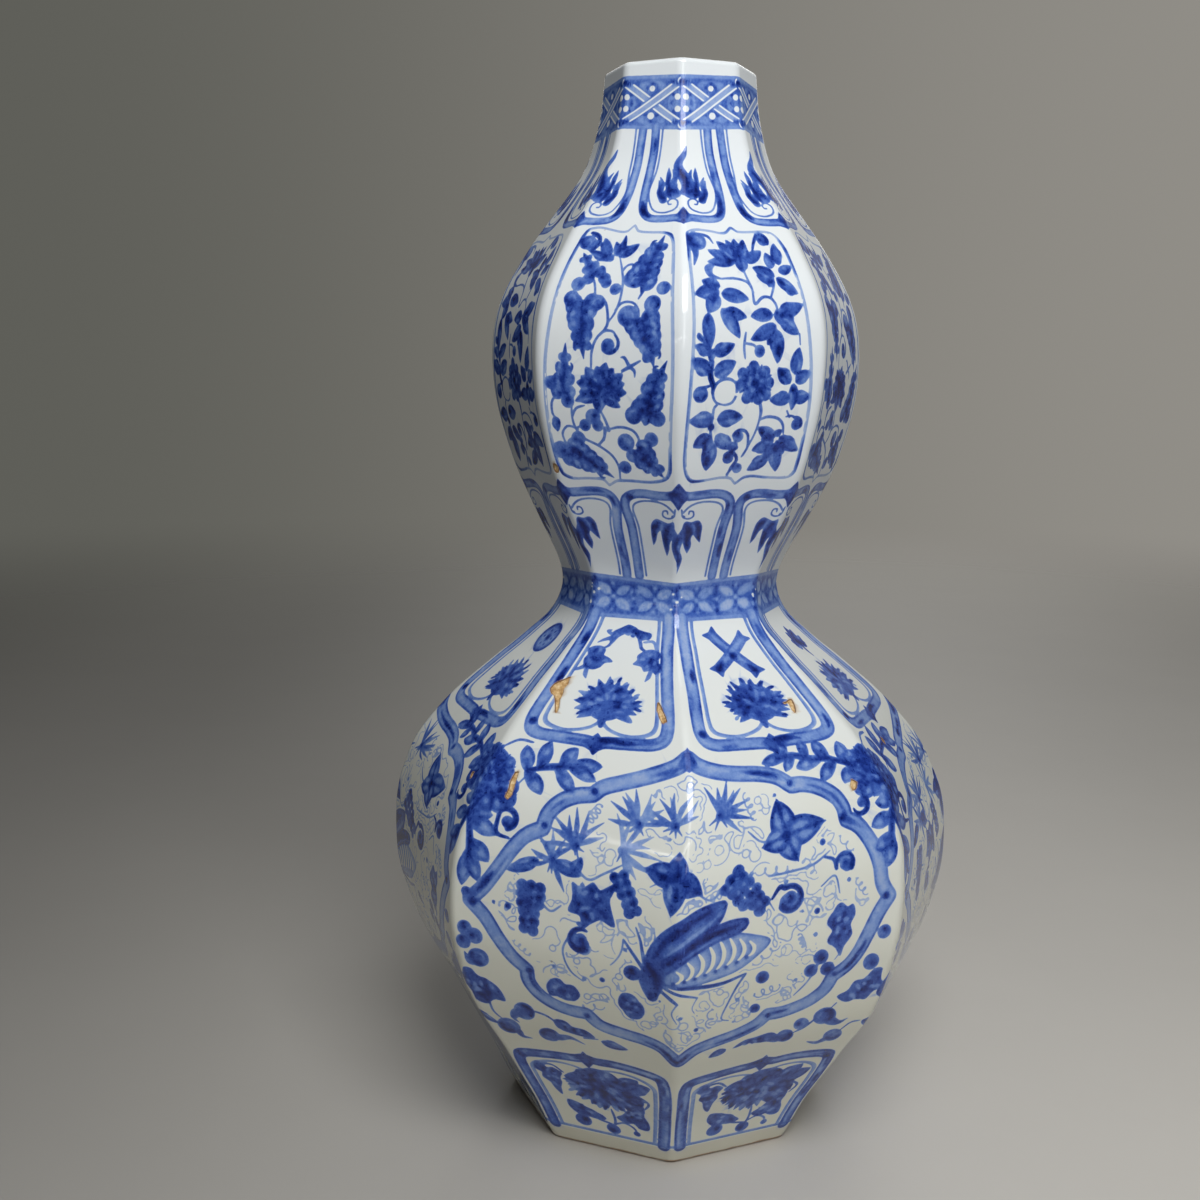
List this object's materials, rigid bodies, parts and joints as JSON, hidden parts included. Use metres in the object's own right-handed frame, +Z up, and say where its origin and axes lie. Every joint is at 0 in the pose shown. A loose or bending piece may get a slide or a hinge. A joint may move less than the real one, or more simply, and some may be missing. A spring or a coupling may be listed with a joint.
{
  "type": "double gourd vase",
  "caption": "Octagonal double-gourd porcelain vase with a slim neck, painted in underglaze blue, hollow and open at the mouth, standing on a low foot ring.",
  "frame": {"origin": "centre of the foot's resting face, on the surface that the vase stands on", "axes": "+Z up along the vase's axis towards the mouth; -Y through the ridge at the front, +X through the ridge at the right"},
  "size_m": [0.1724, 0.1724, 0.31],
  "materials": {
    "porcelain": "clear glossy glaze over cobalt blue painting on white porcelain",
    "foot": "glossy glaze, resting edge unglazed and burnt brown",
    "biscuit": "unglazed fired body, matt, slightly burnt orange",
    "slip": "fired luting slip, matt"
  },
  "bodies": {
    "root": {"foot_ring": "foot", "floor_slab": "biscuit", "floor_slip": "slip", "lower_belly": "porcelain", "upper_belly": "porcelain", "lower_bulb": "porcelain", "upper_bulb": "porcelain", "neck": "porcelain", "foot_slip": "slip", "belly_slip": "slip", "waist_slip": "slip", "bulb_slip": "slip", "neck_slip": "slip"}
  },
  "joints": []
}
